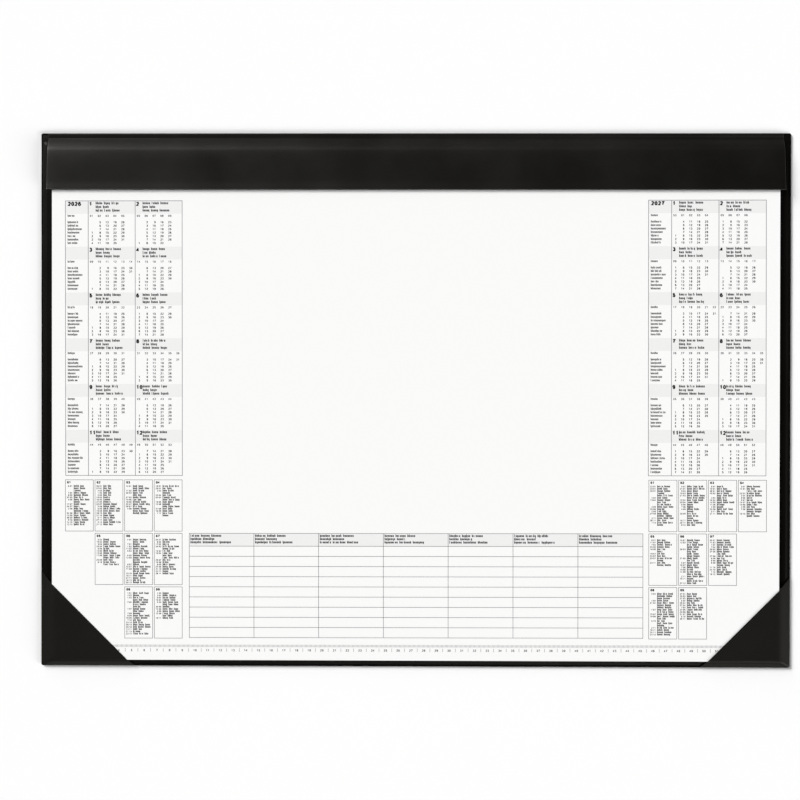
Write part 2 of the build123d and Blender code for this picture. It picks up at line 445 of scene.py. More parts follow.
def buildTopCover(sizes):
    matLow, matHigh = [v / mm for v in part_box("top_cover")]
    boardLow, boardHigh = [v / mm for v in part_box("stiffener_board")]
    foilThickness = matHigh.z - boardHigh.z
    flangeTop = matLow.z + foilThickness
    outer, inner = coverProfile(sizes, foilThickness, flangeTop, matHigh.z)
    rings = []

    def ring(low, high, growth, radius, z, wave=0.0):
        points = rectangleRing((low.x - growth, low.y - growth),
                               (high.x + growth, high.y + growth), radius, z, sizes, wave)
        rings.append([Vector(p) * mm for p in points])

    for z in (boardHigh.z, boardLow.z):
        ring(boardLow, boardHigh, 0, sizes["boardRadius"], z)
    for inset, z in outer:
        radius = max(sizes["cornerRadius"] - inset, sizes["leastRadius"])
        ring(matLow, matHigh, -inset, radius, z, -sizes["wave"] if inset < outer[-1][0] else 0)
    for growth, z in inner:
        ring(boardLow, boardHigh, growth, sizes["raisedRadius"], z)
    ring(boardLow, boardHigh, -sizes["crownInset"], sizes["raisedRadius"], matHigh.z)
    return ringObject("top_cover_foil", rings, shadedMatFoil)


topCover = buildTopCover(coverSizes)
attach(topCover, "mat")
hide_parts("top_cover")
print("top cover made")


# Corner pockets: one foil each, welded on two sides, with a hip where its two ramps meet

pocketSizes = {
    "weld": 0.25,  # mm, width of the flat weld along the mat's edge
    "padClearance": 0.1,  # mm between the pad's upper edge and the foil
    "foldSoftness": (0.4, 1.5),  # mm, how softly the inner and outer face go over the pad's edge
    "footSoftness": 0.4,
    "hipSoftness": (0.3, 1.3),
    "edgeRound": 0.5,  # mm, the outer edge is pressed round by the welding tool
    "edgePress": 0.92,  # share of the rounding, so that the edge keeps a little height
    "cutRound": 0.22,  # mm, the free edge
    "flare": 0.7,  # mm, the free edge flares where it goes down the sides
    "cornerRadius": 1.5,
    "sag": 0.10,  # mm, the foil isn't quite flat between its welds
    "sagFrom": 4.0,  # mm inside the edge, where it begins
    "sagRun": 20.0,
    "sagWave": 26.0,
}


def stepsBetween(start, end, step):
    count = max(1, round((end - start) / step))
    return [start + (end - start) * i / count for i in range(count)]


def shellFaces(wide, deep):
    # Faces of a shell of two grids, the second below the first, with a wall round the rim
    under = wide * deep
    faces = []
    for r in range(deep - 1):
        for c in range(wide - 1):
            i = r * wide + c
            faces.append((i, i + 1, i + wide + 1, i + wide))
            faces.append(tuple(under + k for k in (i, i + wide, i + wide + 1, i + 1)))
    rim = list(range(wide)) + [r * wide + wide - 1 for r in range(1, deep)]
    rim += [(deep - 1) * wide + c for c in range(wide - 2, -1, -1)]
    rim += [r * wide for r in range(deep - 2, 0, -1)]
    for i, j in zip(rim, rim[1:] + rim[:1]):
        faces.append((j, i, under + i, under + j))
    return faces


def buildPocket(name, node, side, sizes):
    # side is -1 for the left pocket and 1 for the right one; u and v run from the mat's corner
    low, high = [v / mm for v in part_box(node)]
    matLow, matHigh = [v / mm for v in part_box("top_cover")]
    sheetLow, sheetHigh = padLow / mm, padHigh / mm
    foilThickness = matHigh.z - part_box("stiffener_board")[1].z / mm
    flangeTop = low.z
    level = high.z - foilThickness
    leg = high.x - low.x
    line = leg - sizes["flare"]
    gaps = (sheetLow.x - matLow.x, sheetLow.y - matLow.y)
    # Each ramp climbs straight from its weld to just outside the pad's upper edge
    rise = sheetHigh.z + sizes["padClearance"] - flangeTop
    slopes = [math.atan2(rise, g - 2 * sizes["padClearance"] - sizes["weld"]) for g in gaps]

    def ramp(distance, slope, offset):
        return flangeTop + (distance - sizes["weld"]) * math.tan(slope) + offset / math.cos(slope)

    def height(u, v, offset, fold, hip):
        ramps = smoothMin(ramp(u, slopes[0], offset), ramp(v, slopes[1], offset), hip)
        return smoothMax(smoothMin(ramps, level + offset, fold), flangeTop + offset,
                         sizes["footSoftness"])

    ends = [0, 0.05, 0.13, 0.26, 0.5, 0.85, 1.2] + stepsBetween(1.6, 14, 0.55)
    shares = [e / line for e in ends] + stepsBetween(14 / line, 0.5, 2.4 / line)
    shares = shares + [0.5] + [1 - s for s in reversed(shares)]
    rows = [0, 0.05, 0.12, 0.22, 0.5, 1.0] + stepsBetween(1.6, line - 14, 2.0)
    rows += stepsBetween(line - 14, line - 0.6, 0.8) + [line - 0.6, line - 0.25]
    tops, bottoms = [], []
    for d in rows:
        total = line - d
        for share in shares:
            u, v = total * share, total * (1 - share)
            fromCut = d / math.sqrt(2)
            besideU = max(0.0, 1 - u / gaps[0])
            besideV = max(0.0, 1 - v / gaps[1])
            v2 = v + sizes["flare"] * besideU * (v / line)
            u2 = u + sizes["flare"] * besideV * (u / line)
            z = [height(u2, v2, offset, fold, hip) for offset, fold, hip
                 in zip((0, foilThickness), sizes["foldSoftness"], sizes["hipSoftness"])]
            inside = min(u2, v2)
            flat = min(1.0, max(0.0, (inside - sizes["sagFrom"]) / sizes["sagRun"]))
            unevenness = ripple(u2 * side, v2, sizes["sagWave"], 3.0)
            droop = sizes["sag"] * flat * (0.6 + 0.7 * unevenness)
            z = [z[0] - droop, z[1] - droop]
            z[1] -= roundedDrop(inside, sizes["edgeRound"]) * sizes["edgePress"]
            z[1] -= roundedDrop(fromCut, sizes["cutRound"])
            a, b = sizes["cornerRadius"] - u2, sizes["cornerRadius"] - v2
            if a > 0 and b > 0:
                scale = max(a, b) / math.hypot(a, b)
                u2, v2 = [sizes["cornerRadius"] - c * scale for c in (a, b)]
            for layer, layerZ in ((bottoms, z[0]), (tops, z[1])):
                layer.append(Vector((side * (matHigh.x - u2), matLow.y + v2, layerZ)) * mm)
    faces = shellFaces(len(shares), len(rows))
    if side > 0:
        faces = [tuple(reversed(f)) for f in faces]
    return meshObject(name, tops + bottoms, faces, litPocketFoil, sharpAngle=50)


for side, node in ((-1, "corner_pocket_left"), (1, "corner_pocket_right")):
    pocket = buildPocket(node + "_foil", node, side, pocketSizes)
    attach(pocket, "mat")
    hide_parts(node)
print("corner pockets made")


# Cover strip: skin over soft padding, one foil from the rolled seam on the mat over the crease
# to the free edge. Distances along the strip count from the hinge axis, in millimetres.

stripSizes = {
    "creaseFlat": 1.2,  # mm from the hinge axis to where the strip starts to climb
    "liningBend": 6.0,  # mm, bend radius over the bound edge of the pad
    "creaseSoftness": 0.7,
    "seamCrest": -3.0,  # where the rolled seam is highest
    "seamRoundness": 2.2,
    "seamFoot": (-0.28, -1.8),  # places along its underside
    "valley": 0.3,  # where the groove beside the seam is lowest
    "valleyHeight": 2.62,  # mm above the desk
    "valleySoftness": 0.5,
    "liningThickness": 0.3,
    "climbStart": (0.45, 2.72),  # mm along the strip and above the desk
    "climb": 36,  # degrees, how steeply the cushion rises from the crease
    "shoulder": 4.6,  # mm along, where the climb rounds into the top
    "shoulderSlope": 0.36,
    "levelling": 4.4,  # mm, how fast the top levels off
    "shoulderSoftness": 2.0,
    "topHeight": 8.14,
    "hemStart": 33.0,  # the turned hem lifts the skin a little from here on
    "hemLift": 0.33,
    "groove": 39.6,  # the pressed weld line before the hem
    "grooveWidth": 0.45,
    "grooveDepth": 0.07,
    "edgeRound": 0.7,  # mm, rounding of the free edge
    "endRound": 0.45,  # mm, rounding of each end
    "endRun": 7.0,  # mm over which the padding thins towards each end
    "endThin": 0.14,
    "endTaper": 0.9,  # mm that the strip is narrower at the crease, at each end
    "wave": 0.06,  # mm, soft unevenness of the padding
    "waveLengths": (38.0, 55.0),  # mm, of the dents and of the sway from end to end
    "sway": 0.35,
    "waveFrom": (2.0, 5.0),  # mm along, where the unevenness starts and over how far it grows
    "play": 0.02,  # mm that the lining is smaller than its solid
    "rootDrop": 0.08,  # mm that the lining lies lower behind the crease
    "foldStart": -0.3,  # mm along, where the pieces begin to fold
    "foldEnd": 0.9,
}
hinge = frame["joints"][0]
hingeY = hinge["pos_m"][1] / mm
skinLow, skinHigh = [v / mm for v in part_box("strip_outer_skin")]
liningLow, liningHigh = [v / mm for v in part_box("strip_lining")]
beadLow, beadHigh = [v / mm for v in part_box("cover_strip_spine")]
liningThickness = stripSizes["liningThickness"]
skinThickness = liningLow.y - skinLow.y
liningLevel = liningHigh.z - liningThickness
rootHeight = liningLow.z
stripEnd = hingeY - skinLow.y
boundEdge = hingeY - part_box("pad_binding_glue")[1].y / mm


def climbAngle(sizes):
    run = boundEdge - sizes["creaseFlat"]
    rise = liningLevel - sizes["liningBend"] - rootHeight
    return math.atan2(rise, run) + math.asin(sizes["liningBend"] / math.hypot(run, rise))


def laminateHeight(along, offset, sizes):
    # Height of the layer that lies offset above the lining's underside
    slope = climbAngle(sizes)
    bend = sizes["liningBend"]
    touch = boundEdge - (bend + offset) * math.sin(slope)
    if along >= boundEdge:
        return liningLevel + offset
    if along > touch:
        drop = math.sqrt((bend + offset) ** 2 - (boundEdge - along) ** 2)
        return liningLevel - bend + drop
    climb = rootHeight + offset / math.cos(slope) + (along - sizes["creaseFlat"]) * math.tan(slope)
    return smoothMax(climb, rootHeight + offset, sizes["creaseSoftness"])


def skinHeight(along, fromEnd, x, sizes):
    # Height of the skin's outer face
    if along <= sizes["seamCrest"]:
        rear = along + beadHigh.y - hingeY
        t = max(0.0, min(1.0, rear / (sizes["seamCrest"] + beadHigh.y - hingeY)))
        rise = math.sqrt(1 - (1 - t) ** sizes["seamRoundness"])
        return beadLow.z + (beadHigh.z - beadLow.z) * rise
    if along <= sizes["valley"]:
        t = (along - sizes["seamCrest"]) / (sizes["valley"] - sizes["seamCrest"])
        return easeBetween(beadHigh.z, sizes["valleyHeight"], t)
    climbAlong, climbHeight = sizes["climbStart"]
    climb = climbHeight + (along - climbAlong) * math.tan(math.radians(sizes["climb"]))
    fall = math.exp((sizes["shoulder"] - along) / sizes["levelling"])
    top = sizes["topHeight"] - sizes["shoulderSlope"] * sizes["levelling"] * fall
    z = smoothMax(smoothMin(climb, top, sizes["shoulderSoftness"]), sizes["valleyHeight"],
                  sizes["valleySoftness"])
    hem = max(0.0, (along - sizes["hemStart"]) / (sizes["groove"] - sizes["hemStart"]))
    z += sizes["hemLift"] * hem * hem
    waveStart, waveRun = sizes["waveFrom"]
    grown = min(1.0, max(0.0, along - waveStart) / waveRun)
    dents, sway = sizes["waveLengths"]
    z += sizes["wave"] * grown * (ripple(x, along, dents, 7.0)
                                  + sizes["sway"] * ripple(x, 0.0, sway, 1.0))
    thin = max(0.0, 1 - fromEnd / sizes["endRun"])
    z -= sizes["endThin"] * thin * thin * grown
    press = (along - sizes["groove"]) / sizes["grooveWidth"]
    z -= sizes["grooveDepth"] * math.exp(-press * press)
    return z - roundedDrop(stripEnd - along, sizes["edgeRound"])


def stripSections(sizes):
    # Places along the strip: fine where it bends, coarse where it is even
    top = [-3.99, -3.94, -3.85, -3.7, -3.5, -3.25] + stepsBetween(-3.0, 0.0, 0.2)
    top += stepsBetween(0.0, 5.6, 0.16) + stepsBetween(5.6, 13, 0.5) + stepsBetween(13, 38.4, 1.2)
    top += stepsBetween(38.4, 40.2, 0.15)
    top += [stripEnd - d for d in (0.7, 0.55, 0.42, 0.3, 0.18, 0.08, 0.02, 0.0)]
    bottom = stepsBetween(1.2, 10, 0.6) + stepsBetween(10, stripEnd - skinThickness, 4.0)
    bottom = [stripEnd - skinThickness] + list(reversed(bottom))
    bottom += [0.9, 0.6, 0.3, 0.0]
    return top, bottom


def stripStations(half):
    # Distances from the strip's left end, close together near both ends and even between them
    ends = [0.0, 0.04, 0.12, 0.25, 0.45, 0.55, 0.8, 1.0, 1.2, 1.4, 1.6, 1.8, 2.1, 2.6, 3.4, 4.4,
            5.6, 7.0, 9.0]
    first, step = 12, 4.0
    inner = stepsBetween(first, 2 * half - first, step)
    return ends + inner + [2 * half - first] + [2 * half - e for e in reversed(ends)]


def stripPoint(x, along, z, half, sizes):
    # The strip is a little narrower at the crease
    taper = 1 - sizes["endTaper"] / half * (1 - max(along, 0) / stripEnd)
    return Vector((x * taper, hingeY - along, z)) * mm


def buildStripSkin(name, sizes):
    half = skinHigh.x
    top, bottom = stripSections(sizes)
    rings = []
    for station in stripStations(half):
        fromEnd = min(station, 2 * half - station)
        x = station - half
        drop = roundedDrop(fromEnd, sizes["endRound"])
        lift = liningThickness if fromEnd > skinThickness else 0.0
        section = [(hingeY - beadHigh.y, beadLow.z)]
        section += [(a, skinHeight(a, fromEnd, x, sizes) - drop) for a in top]
        section += [(stripEnd, liningLevel), (stripEnd - 0.98 * skinThickness, liningLevel)]
        section += [(a, laminateHeight(a, lift, sizes)) for a in bottom]
        section += [(a, beadLow.z) for a in sizes["seamFoot"]]
        rings.append([stripPoint(x, along, z, half, sizes) for along, z in section])
    return ringObject(name, rings, foil, sharpAngle=55)


def buildStripLining(name, sizes):
    half = liningHigh.x - sizes["play"]
    last = stripEnd - skinThickness - sizes["play"]
    bottom = [-0.26, -0.13] + stepsBetween(0.0, 1.6, 0.2) + stepsBetween(1.6, 10, 0.5)
    bottom += stepsBetween(10, last, 3.0) + [last]
    upper = liningThickness - 0.01
    rings = []
    for station in stepsBetween(0.0, 2 * half, 5.0) + [2 * half]:
        x = station - half
        ring = []
        for layer, alongs in ((0.0, bottom), (upper, bottom[::-1])):
            for along in alongs:
                drop = sizes["rootDrop"] if along < 0 else 0.0
                z = laminateHeight(along, layer, sizes) - drop
                ring.append(stripPoint(x, along, z, half, sizes))
        rings.append(ring)
    return ringObject(name, rings, film, sharpAngle=50, inwards=True)


stripSkin = buildStripSkin("cover_strip_padded_skin", stripSizes)
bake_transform(stripSkin)
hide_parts("strip_outer_skin", "strip_padding", "cover_strip_spine")
stripLining = buildStripLining("cover_strip_lining", stripSizes)
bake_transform(stripLining)
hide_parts("strip_lining")
print("cover strip made")


# Print on the top sheet. Everything printed is a thin closed body of ink that lies on the paper.
# Places are millimetres in the part's frame, and the whole print is turned a little on the sheet.

printTurn = 0.0015  # radians, the print isn't quite square to the mat
printSeed = 20
inkHeight = 0.02  # mm
sheetTop = padHigh.z / mm

barInks = {
    # The rest of the piece's name after print_: its ink, and its share of the ink height
    "bands": ("pale", 0.5),
    "year_frames": ("grey", 1.0),
    "lines": ("dark_grey", 1.0),
    "ruler": ("dark_grey", 1.0),
    "month_marks": ("black", 1.1),
    "label_marks": ("black", 1.1),
    "heading_marks": ("black", 1.1),
    "list_marks": ("black", 1.1),
}

digitInks = {
    # The rest of the piece's name after print_: the style of its digits, and its ink
    "dates": ("plain", "black"),
    "list_dates": ("plain", "black"),
    "week_numbers": ("plain", "dark_grey"),
    "month_numbers": ("heavy", "black"),
}

digitLook = {  # widths are shares of a digit's height
    "styles": {"plain": (0.66, 0.23), "heavy": (0.74, 0.30)},  # width of a digit and of a stroke
    "pitch": 0.79,  # width of one digit's cell
    "dotShare": 0.4,  # width of a full stop's cell, as a share of a digit's
    "layerStep": 0.06,  # a second stroke lies this much lower, as a share of the ink height
    "mitre": 0.55,  # limits how far the corner of a stroke reaches out
}

markLook = {  # sizes are shares of the height of a small mark
    "strokes": {"month_marks": 0.29, "label_marks": 0.25, "heading_marks": 0.29,
                "list_marks": 0.3},
    "pitch": 0.79,  # width of a mark and the gap after it
    "gap": 0.17,
    "groupGap": 0.75,
    "groupSpread": (0.8, 1.2),
    "tallHeight": 1.38,
    "tallShare": 0.16,  # how many marks have a tall first stem
    "dip": 0.34,
    "dipShare": 0.08,  # how many have a second stem that dips below the line
    "pairShare": 0.9,  # how many have a second stem at all
    "ties": (0.0, 0.38, 0.74),
    "secondTieShare": 0.6,
    "lengths": (0.85, 1.0),  # a line is this much of the length that its plan gives
}

yearPlan = {
    "years": ((2026, -275.0), (2027, 183.1)),  # year and the left side of its frame
    "top": 156.75,
    "rows": 6,
    "rowHeight": 36.0,
    "labelWidth": 18.0,
    "monthWidth": 37.0,
    "lineWidth": 0.46,
    "band": 10.1,  # height of the tinted head of each row
    "yearHeight": 3.4,
    "yearTop": 0.65,
    "numberHeight": 3.3,
    "numberTop": 0.75,
    "numberLeft": 0.6,
    "wordsLeft": 5.9,
    # Each line of marks: below the row's top, its length, its number of groups
    "wordLines": ((1.95, 20.4, 3), (4.85, 11.8, 2), (7.62, 21.5, 3)),
    "weekLine": 11.8,
    "firstDay": 16.8,
    "dayPitch": 2.73,
    "firstWeek": 3.9,  # right side of the first column of dates
    "weekPitch": 6.19,
    "dateHeight": 1.75,
    "labelLeft": 1.75,
    "labelWords": (5.6, 8.4, 8.5, 11.8, 9.4, 6.2, 9.0, 7.8),
    "wordHeight": 1.5,
    "labelHeight": 1.34,
}

listPlan = {
    "width": 22.0,
    "height": 40.4,
    "pitch": 23.35,
    "tops": (-62.7, -104.85, -147.0),
    "lines": ((18, 18, 13, 14), (12, 20, 16), (19, 12)),
    "left": (-275.25, (0, 1, 2)),  # first box, and how many places each row is set in
    "right": (183.5, (0, 0, 0)),
    "lineWidth": 0.34,
    "headingHeight": 2.0,
    "headingLeft": 1.2,
    "headingTop": 1.0,
    "firstLine": 5.0,
    "linePitch": 1.775,
    "dateRight": 5.5,
    "wordsLeft": 6.6,
    "longest": 14.0,
    "shortest": 4.5,
    "groupLength": 6.0,  # a longer line has more groups of marks
    "wordHeight": 1.22,
    "dateHeight": 1.3,
    "continued": 0.24,  # share of the lines that run on from the line above and have no date
    "days": 365,  # the dates are spread over one year
}

plannerPlan = {
    "left": -177.6,
    "right": 178.9,
    "columns": 7,
    "top": -104.8,
    "headHeight": 10.05,
    "rows": 9,
    "rowHeight": 8.0,
    "lineWidth": 0.34,
    "wordsLeft": 0.95,
    "wordLines": ((1.95, 27.5, 3), (4.5, 19.5, 2), (7.05, 34.0, 3)),
    "wordHeight": 1.48,
}

rulerPlan = {
    "zero": -273.2,
    "length": 51,  # centimetres, each with its number
    "step": 10,  # ticks in a centimetre, one each millimetre
    "lastTicks": 6,  # ticks from the last number on
    "tickTop": -192.45,
    "tickFoot": -194.4,
    "tickWidth": 0.27,
    "longTop": -195.3,
    "longFoot": -198.0,
    "numberMiddle": -196.85,
    "numberHeight": 1.85,
}

bars = {group: [] for group in barInks}
digits = {group: [] for group in digitInks}


def addBar(group, left, foot, right, head):
    bars[group].append((((left + right) / 2, (foot + head) / 2, sheetTop),
                        ((right - left) * mm, (head - foot) * mm, 0.0)))


def addFrame(group, left, foot, right, head, width):
    h = width / 2
    for y in (head, foot):
        addBar(group, left - h, y - h, right + h, y + h)
    for x in (left, right):
        addBar(group, x - h, foot + h, x + h, head - h)


def addNumber(group, text, x, middle, height, align=0):
    # align is 0 where the number starts at x, 0.5 where x is its middle, 1 where it ends there
    pitch = digitLook["pitch"] * height
    cells = [pitch * (1 if sign.isdigit() else digitLook["dotShare"]) for sign in text]
    start = x - sum(cells) * align
    for sign, cell in zip(text, cells):
        if sign.isdigit():
            digits[group].append(((start + cell / 2, middle - height / 2, sheetTop),
                                  (height * mm, height * mm, inkHeight * mm), int(sign)))
        start += cell


def addHead(text, left, top, height):
    # A heavy number that hangs from its top
    addNumber("month_numbers", text, left, top - height / 2, height)


def addLine(group, x, middle, length, height, count, dice):
    # A line of marks in groups: stems in pairs, tied at the foot, the middle or the head
    look = markLook
    stroke = look["strokes"][group] * height
    foot = middle - height / 2
    gap = look["groupGap"] * height
    cuts = sorted(dice.uniform(*look["groupSpread"]) for cut in range(count))
    share = (length - gap * (count - 1)) / sum(cuts)
    dice.shuffle(cuts)
    start = x
    for cut in cuts:
        signs = max(2, round(cut * share / (look["pitch"] * height)))
        pitch = cut * share / signs
        for sign in range(signs):
            left = start + sign * pitch
            right = left + pitch - look["gap"] * height
            tall = sign == 0 or dice.random() < look["tallShare"]
            addBar(group, left, foot, left + stroke,
                   foot + height * (look["tallHeight"] if tall else 1.0))
            if dice.random() < look["pairShare"]:
                dip = foot - height * (look["dip"] if dice.random() < look["dipShare"] else 0.0)
                addBar(group, right - stroke, dip, right, foot + height)
            for level in dice.sample(look["ties"], 1 + (dice.random() < look["secondTieShare"])):
                tie = foot + level * height
                addBar(group, left + stroke, tie, right - stroke, tie + stroke)
        start += cut * share + gap


def addLines(group, left, top, plan, dice):
    for drop, length, count in plan["wordLines"]:
        addLine(group, left + plan["wordsLeft"], top - drop,
                length * dice.uniform(*markLook["lengths"]), plan["wordHeight"], count, dice)


def weeksOfMonth(year, month):
    # {ISO week: {weekday: day}}, in the order of the month
    weeks = {}
    for day in range(1, calendar.monthrange(year, month)[1] + 1):
        date = datetime.date(year, month, day)
        weeks.setdefault(date.isocalendar()[1], {})[date.weekday()] = day
    return weeks


def drawYear(year, left, plan, dice):
    widths = (plan["labelWidth"], plan["monthWidth"], plan["monthWidth"])
    sides = [left, left + widths[0], left + widths[0] + widths[1], left + sum(widths)]
    foot = plan["top"] - plan["rows"] * plan["rowHeight"]
    h = plan["lineWidth"] / 2
    addFrame("year_frames", sides[0], foot, sides[3], plan["top"], plan["lineWidth"])
    for x in sides[1:3]:
        addBar("year_frames", x - h, foot + h, x + h, plan["top"] - h)
    addHead(str(year), left + plan["labelLeft"], plan["top"] - plan["yearTop"], plan["yearHeight"])
    for row in range(plan["rows"]):
        top = plan["top"] - row * plan["rowHeight"]
        for x, width in zip(sides, widths):
            addBar("bands", x + h, top - plan["band"], x + width - h, top - (0 if row else h))
        for i, length in enumerate(plan["labelWords"]):
            drop = plan["weekLine"] if i == 0 else plan["firstDay"] + (i - 1) * plan["dayPitch"]
            addLine("label_marks", left + plan["labelLeft"], top - drop, length,
                    plan["labelHeight"], 1, dice)
        for column in (1, 2):
            drawMonth(year, 2 * row + column, sides[column], top, plan, dice)


def drawMonth(year, month, left, top, plan, dice):
    addHead(str(month), left + plan["numberLeft"], top - plan["numberTop"], plan["numberHeight"])
    addLines("month_marks", left, top, plan, dice)
    for i, (week, days) in enumerate(weeksOfMonth(year, month).items()):
        right = left + plan["firstWeek"] + i * plan["weekPitch"]
        addNumber("week_numbers", f"{week:02d}", right, top - plan["weekLine"],
                  plan["dateHeight"], 1)
        for weekday, day in days.items():
            middle = top - plan["firstDay"] - weekday * plan["dayPitch"]
            addNumber("dates", str(day), right, middle, plan["dateHeight"], 1)


def drawLists(first, indents, plan, dice):
    number = 0
    newYear = datetime.date(yearPlan["years"][0][0], 1, 1)
    for top, indent, counts in zip(plan["tops"], indents, plan["lines"]):
        for k, count in enumerate(counts):
            number += 1
            left = first + (indent + k) * plan["pitch"]
            addFrame("lines", left, top - plan["height"], left + plan["width"], top,
                     plan["lineWidth"])
            addHead(f"{number:02d}", left + plan["headingLeft"], top - plan["headingTop"],
                    plan["headingHeight"])
            dates = sorted(dice.sample(range(plan["days"]), count))
            for i in range(count):
                middle = top - plan["firstLine"] - i * plan["linePitch"]
                length = dice.uniform(plan["shortest"], plan["longest"])
                addLine("list_marks", left + plan["wordsLeft"], middle, length,
                        plan["wordHeight"], 1 + int(length / plan["groupLength"]), dice)
                if i == 0 or dice.random() > plan["continued"]:
                    date = newYear + datetime.timedelta(days=dates[i])
                    addNumber("list_dates", f"{date.day}.{date.month:02d}",
                              left + plan["dateRight"], middle, plan["dateHeight"], 1)


def drawPlanner(plan, dice):
    bodyTop = plan["top"] - plan["headHeight"]
    foot = bodyTop - plan["rows"] * plan["rowHeight"]
    step = (plan["right"] - plan["left"]) / plan["columns"]
    h = plan["lineWidth"] / 2
    addFrame("lines", plan["left"], foot, plan["right"], plan["top"], plan["lineWidth"])
    addBar("bands", plan["left"] + h, bodyTop + h, plan["right"] - h, plan["top"] - h)
    for row in range(plan["rows"]):
        y = bodyTop - row * plan["rowHeight"]
        addBar("lines", plan["left"] + h, y - h, plan["right"] - h, y + h)
    for column in range(plan["columns"]):
        x = plan["left"] + column * step
        if column:
            addBar("lines", x - h, foot + h, x + h, plan["top"] - h)
        addLines("heading_marks", x, plan["top"], plan, dice)


def drawRuler(plan):
    h = plan["tickWidth"] / 2
    for tick in range(plan["step"] * plan["length"] + plan["lastTicks"]):
        x = plan["zero"] + tick
        addBar("ruler", x - h, plan["tickFoot"], x + h, plan["tickTop"])
    for number in range(plan["length"] + 1):
        x = plan["zero"] + plan["step"] * number
        half = x + plan["step"] / 2
        addBar("ruler", half - h, plan["longFoot"], half + h, plan["longTop"])
        if number:
            addNumber("week_numbers", str(number), x, plan["numberMiddle"],
                      plan["numberHeight"], 0.5)


dice = random.Random(printSeed)
for year, left in yearPlan["years"]:
    drawYear(year, left, yearPlan, dice)
for first, indents in (listPlan["left"], listPlan["right"]):
    drawLists(first, indents, listPlan, dice)
drawPlanner(plannerPlan, dice)
drawRuler(rulerPlan)


def pointCloud(name, places, attributes):
    # Loose points with values for the node trees
    mesh = bpy.data.meshes.new(name)
    mesh.from_pydata([tuple(Vector(p) * mm) for p in places], [], [])
    for label, (kind, field, values) in attributes.items():
        attribute = mesh.attributes.new(label, kind, "POINT")
        attribute.data.foreach_set(field, np.ravel(np.array(values)))
    obj = bpy.data.objects.new(name, mesh)
    scene.collection.objects.link(obj)
    return obj


def startTree(name, inputs):
    tree = bpy.data.node_groups.new(name, "GeometryNodeTree")
    tree.interface.new_socket("Geometry", in_out="INPUT", socket_type="NodeSocketGeometry")
    for label, kind in inputs.items():
        tree.interface.new_socket(label, in_out="INPUT", socket_type=kind)
    tree.interface.new_socket("Geometry", in_out="OUTPUT", socket_type="NodeSocketGeometry")
    return tree, addNode(tree, "NodeGroupInput")


def endTree(tree, start, placed):
    # Each tree ends in real geometry that has its ink
    real = addNode(tree, "GeometryNodeRealizeInstances", links={0: placed.outputs["Instances"]})
    inked = addNode(tree, "GeometryNodeSetMaterial",
                    links={"Geometry": real.outputs[0], "Material": start.outputs["Ink"]})
    addNode(tree, "NodeGroupOutput", links={0: inked.outputs[0]})
    return tree


def barTree():
    # One flat bar of ink on each point, as large as the point says
    tree, start = startTree("printed_bars", {"Ink Height": "NodeSocketFloat",
                                             "Ink": "NodeSocketMaterial"})
    size = addNode(tree, "GeometryNodeInputNamedAttribute",
                   {"data_type": "FLOAT_VECTOR", "Name": "barSize"})
    apart = addNode(tree, "ShaderNodeSeparateXYZ", links={0: size.outputs["Attribute"]})
    full = addNode(tree, "ShaderNodeCombineXYZ",
                   links={"X": apart.outputs["X"], "Y": apart.outputs["Y"],
                          "Z": start.outputs["Ink Height"]})
    half = addNode(tree, "ShaderNodeMath", {"operation": "MULTIPLY", 1: 0.5},
                   {0: start.outputs["Ink Height"]})
    lift = addNode(tree, "ShaderNodeCombineXYZ", links={"Z": half.outputs[0]})
    raised = addNode(tree, "GeometryNodeSetPosition",
                     links={"Geometry": start.outputs["Geometry"], "Offset": lift.outputs[0]})
    block = addNode(tree, "GeometryNodeMeshCube", {"Size": (1.0, 1.0, 1.0)})
    placed = addNode(tree, "GeometryNodeInstanceOnPoints",
                     links={"Points": raised.outputs["Geometry"],
                            "Instance": block.outputs["Mesh"], "Scale": full.outputs[0]})
    return endTree(tree, start, placed)


def digitTree():
    # One of ten digits on each point, picked by the point's number
    tree, start = startTree("printed_digits", {"Digits": "NodeSocketCollection",
                                               "Ink": "NodeSocketMaterial"})
    shapes = addNode(tree, "GeometryNodeCollectionInfo",
                     {"Separate Children": True, "Reset Children": True},
                     {"Collection": start.outputs["Digits"]})
    pick = addNode(tree, "GeometryNodeInputNamedAttribute", {"data_type": "INT", "Name": "digit"})
    size = addNode(tree, "GeometryNodeInputNamedAttribute",
                   {"data_type": "FLOAT_VECTOR", "Name": "digitSize"})
    placed = addNode(tree, "GeometryNodeInstanceOnPoints", {"Pick Instance": True},
                     {"Points": start.outputs["Geometry"], "Instance": shapes.outputs[0],
                      "Instance Index": pick.outputs["Attribute"],
                      "Scale": size.outputs["Attribute"]})
    return endTree(tree, start, placed)


def growPrint(obj, tree, inputs):
    # Runs the tree on the points and keeps the result as a plain mesh, turned on the sheet
    modifier = obj.modifiers.new("print", "NODES")
    modifier.node_group = tree
    for item in tree.interface.items_tree:
        if item.in_out == "INPUT" and item.name in inputs:
            modifier[item.identifier] = inputs[item.name]
    graph = bpy.context.evaluated_depsgraph_get()
    mesh = bpy.data.meshes.new_from_object(obj.evaluated_get(graph))
    obj.modifiers.clear()
    obj.data = mesh
    for label in ("barSize", "digit", "digitSize"):
        if label in mesh.attributes:
            mesh.attributes.remove(mesh.attributes[label])
    turn = np.array([[math.cos(printTurn), math.sin(printTurn), 0],
                     [-math.sin(printTurn), math.cos(printTurn), 0], [0, 0, 1]])
    flat = np.zeros(len(mesh.vertices) * 3)
    mesh.vertices.foreach_get("co", flat)
    mesh.vertices.foreach_set("co", (flat.reshape(-1, 3) @ turn).ravel())
    mesh.update()
    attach(obj, "mat")
    print(obj.name, len(mesh.polygons), "faces")


